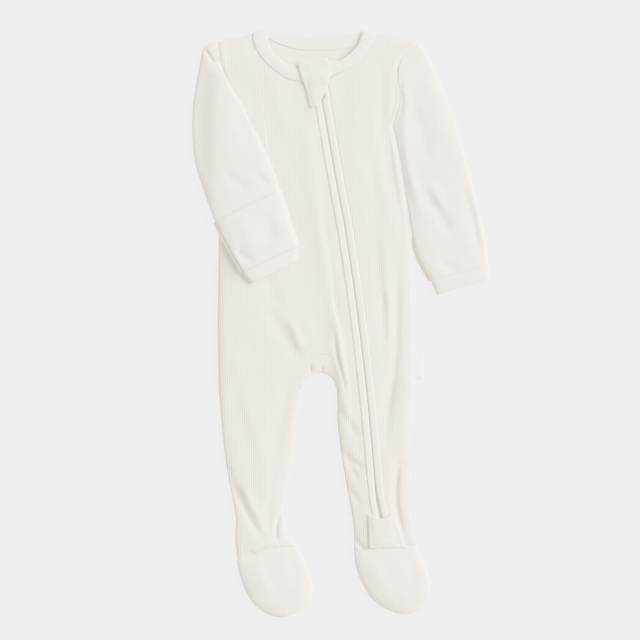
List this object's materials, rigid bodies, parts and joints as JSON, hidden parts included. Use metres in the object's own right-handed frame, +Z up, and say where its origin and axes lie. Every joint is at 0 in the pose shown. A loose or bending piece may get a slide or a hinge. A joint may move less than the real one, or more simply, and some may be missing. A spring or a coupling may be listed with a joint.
{
  "type": "footed baby sleepsuit laid flat",
  "caption": "Long-sleeved footed baby sleepsuit in ivory rib knit, laid flat front up, with a slanted zip from neck to ankle and fold-over mittens.",
  "frame": {"origin": "middle of the suit's box, on the surface it lies on", "axes": "+Z up from the surface, +Y towards the neck, +X to the right as seen looking down at the front"},
  "size_m": [0.2966, 0.5878, 0.0127],
  "materials": {
    "rib_knit": "soft ivory rib knit, matt",
    "binding_knit": "doubled ivory rib knit, topstitched",
    "zip_tape": "woven tape with a nylon coil",
    "zip_metal": "ivory painted zinc slider",
    "label_cloth": "bare white satin label"
  },
  "bodies": {
    "root": {"back_panel": "rib_knit", "front_panel_left": "rib_knit", "front_panel_right": "rib_knit", "crotch_gusset": "rib_knit", "sleeve_left": "rib_knit", "sleeve_right": "rib_knit", "mitten_left": "rib_knit", "mitten_right": "rib_knit", "foot_top_left": "rib_knit", "foot_top_right": "rib_knit", "foot_sole_left": "rib_knit", "foot_sole_right": "rib_knit", "neck_binding": "binding_knit", "zip_binding_left": "binding_knit", "zip_binding_right": "binding_knit", "chin_guard": "binding_knit", "ankle_guard": "binding_knit", "cuff_left": "binding_knit", "cuff_right": "binding_knit", "zip_tape": "zip_tape", "zip_slider": "zip_metal", "side_label": "label_cloth"}
  },
  "joints": []
}
